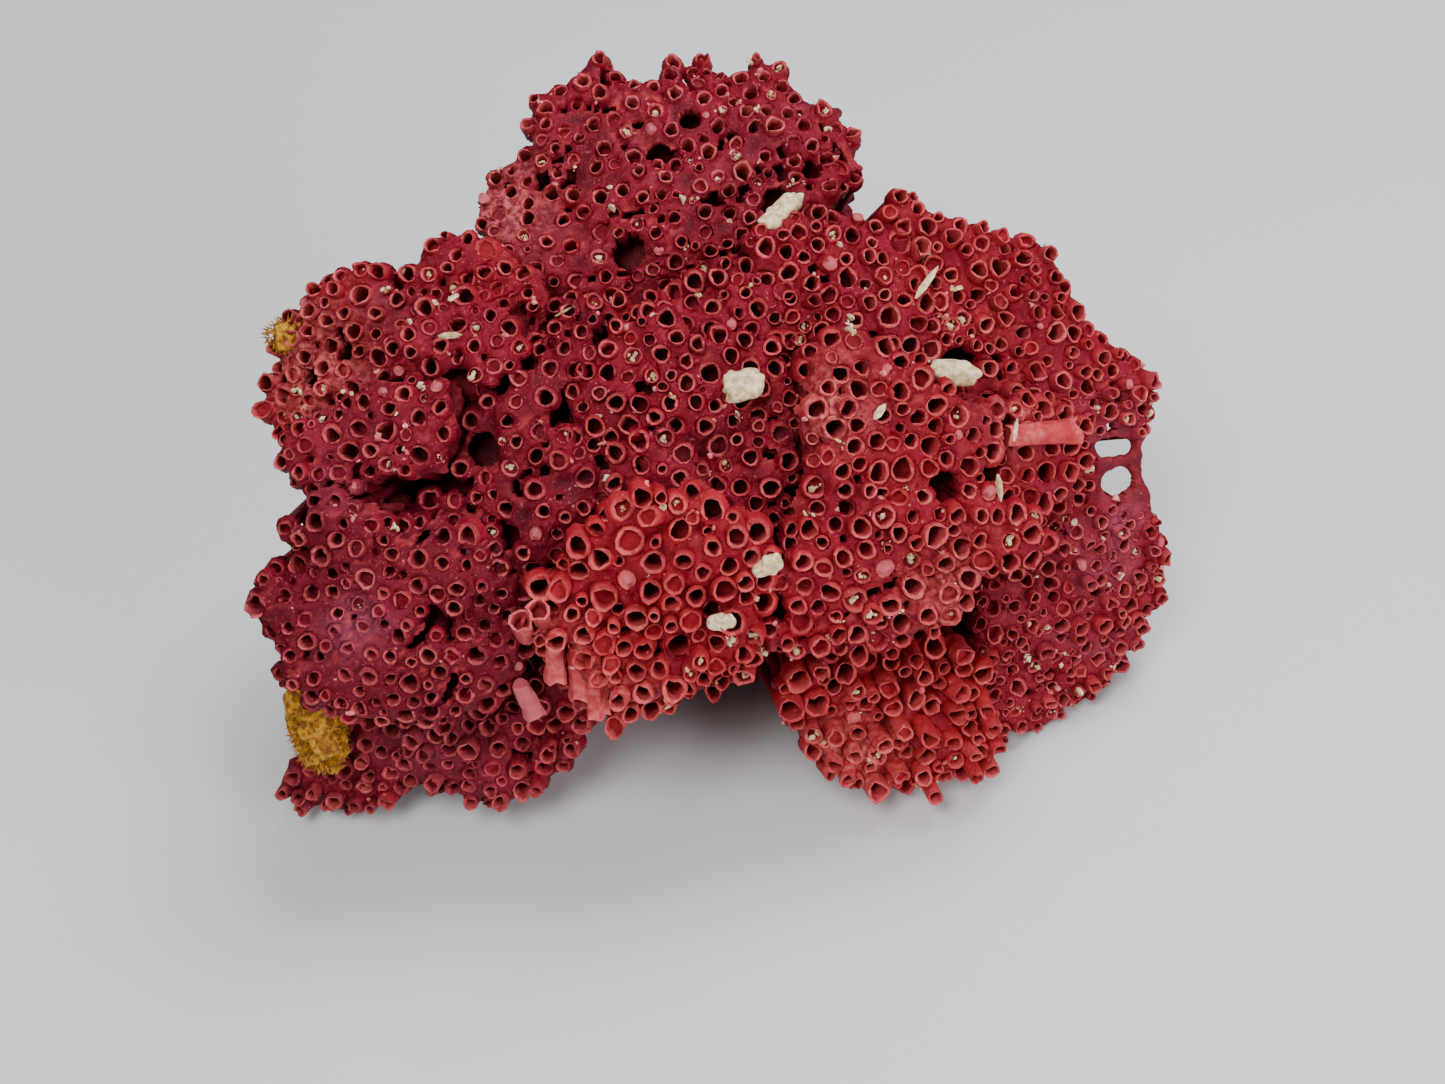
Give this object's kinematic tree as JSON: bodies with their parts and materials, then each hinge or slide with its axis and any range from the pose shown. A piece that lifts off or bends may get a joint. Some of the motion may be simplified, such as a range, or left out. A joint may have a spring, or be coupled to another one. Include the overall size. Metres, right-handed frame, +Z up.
{
  "type": "red organ pipe coral specimen",
  "caption": "Broken clump of red organ pipe coral: thin tubes tied by stepped platforms over a hollow front, with sponge and shell bits lodged in it.",
  "frame": {"origin": "on the flat cut that the clump rests on, below its middle", "axes": "+Z up from the cut, -Y towards the front with the overhanging nose, +X to the right seen from the front"},
  "size_m": [0.0838, 0.0592, 0.0512],
  "materials": {
    "coral_red": "matte, dry skeleton",
    "sponge_yellow": "matte, dry and fibrous",
    "shell_cream": "matte, chalky"
  },
  "bodies": {
    "root": {"coral": "coral_red", "sponge_left_foot": "sponge_yellow", "sponge_upper_left": "sponge_yellow", "shell_bit_back": "shell_cream", "shell_bit_middle": "shell_cream", "shell_bit_right": "shell_cream", "shell_flake_front": "shell_cream", "shell_bit_front": "shell_cream"}
  },
  "joints": []
}
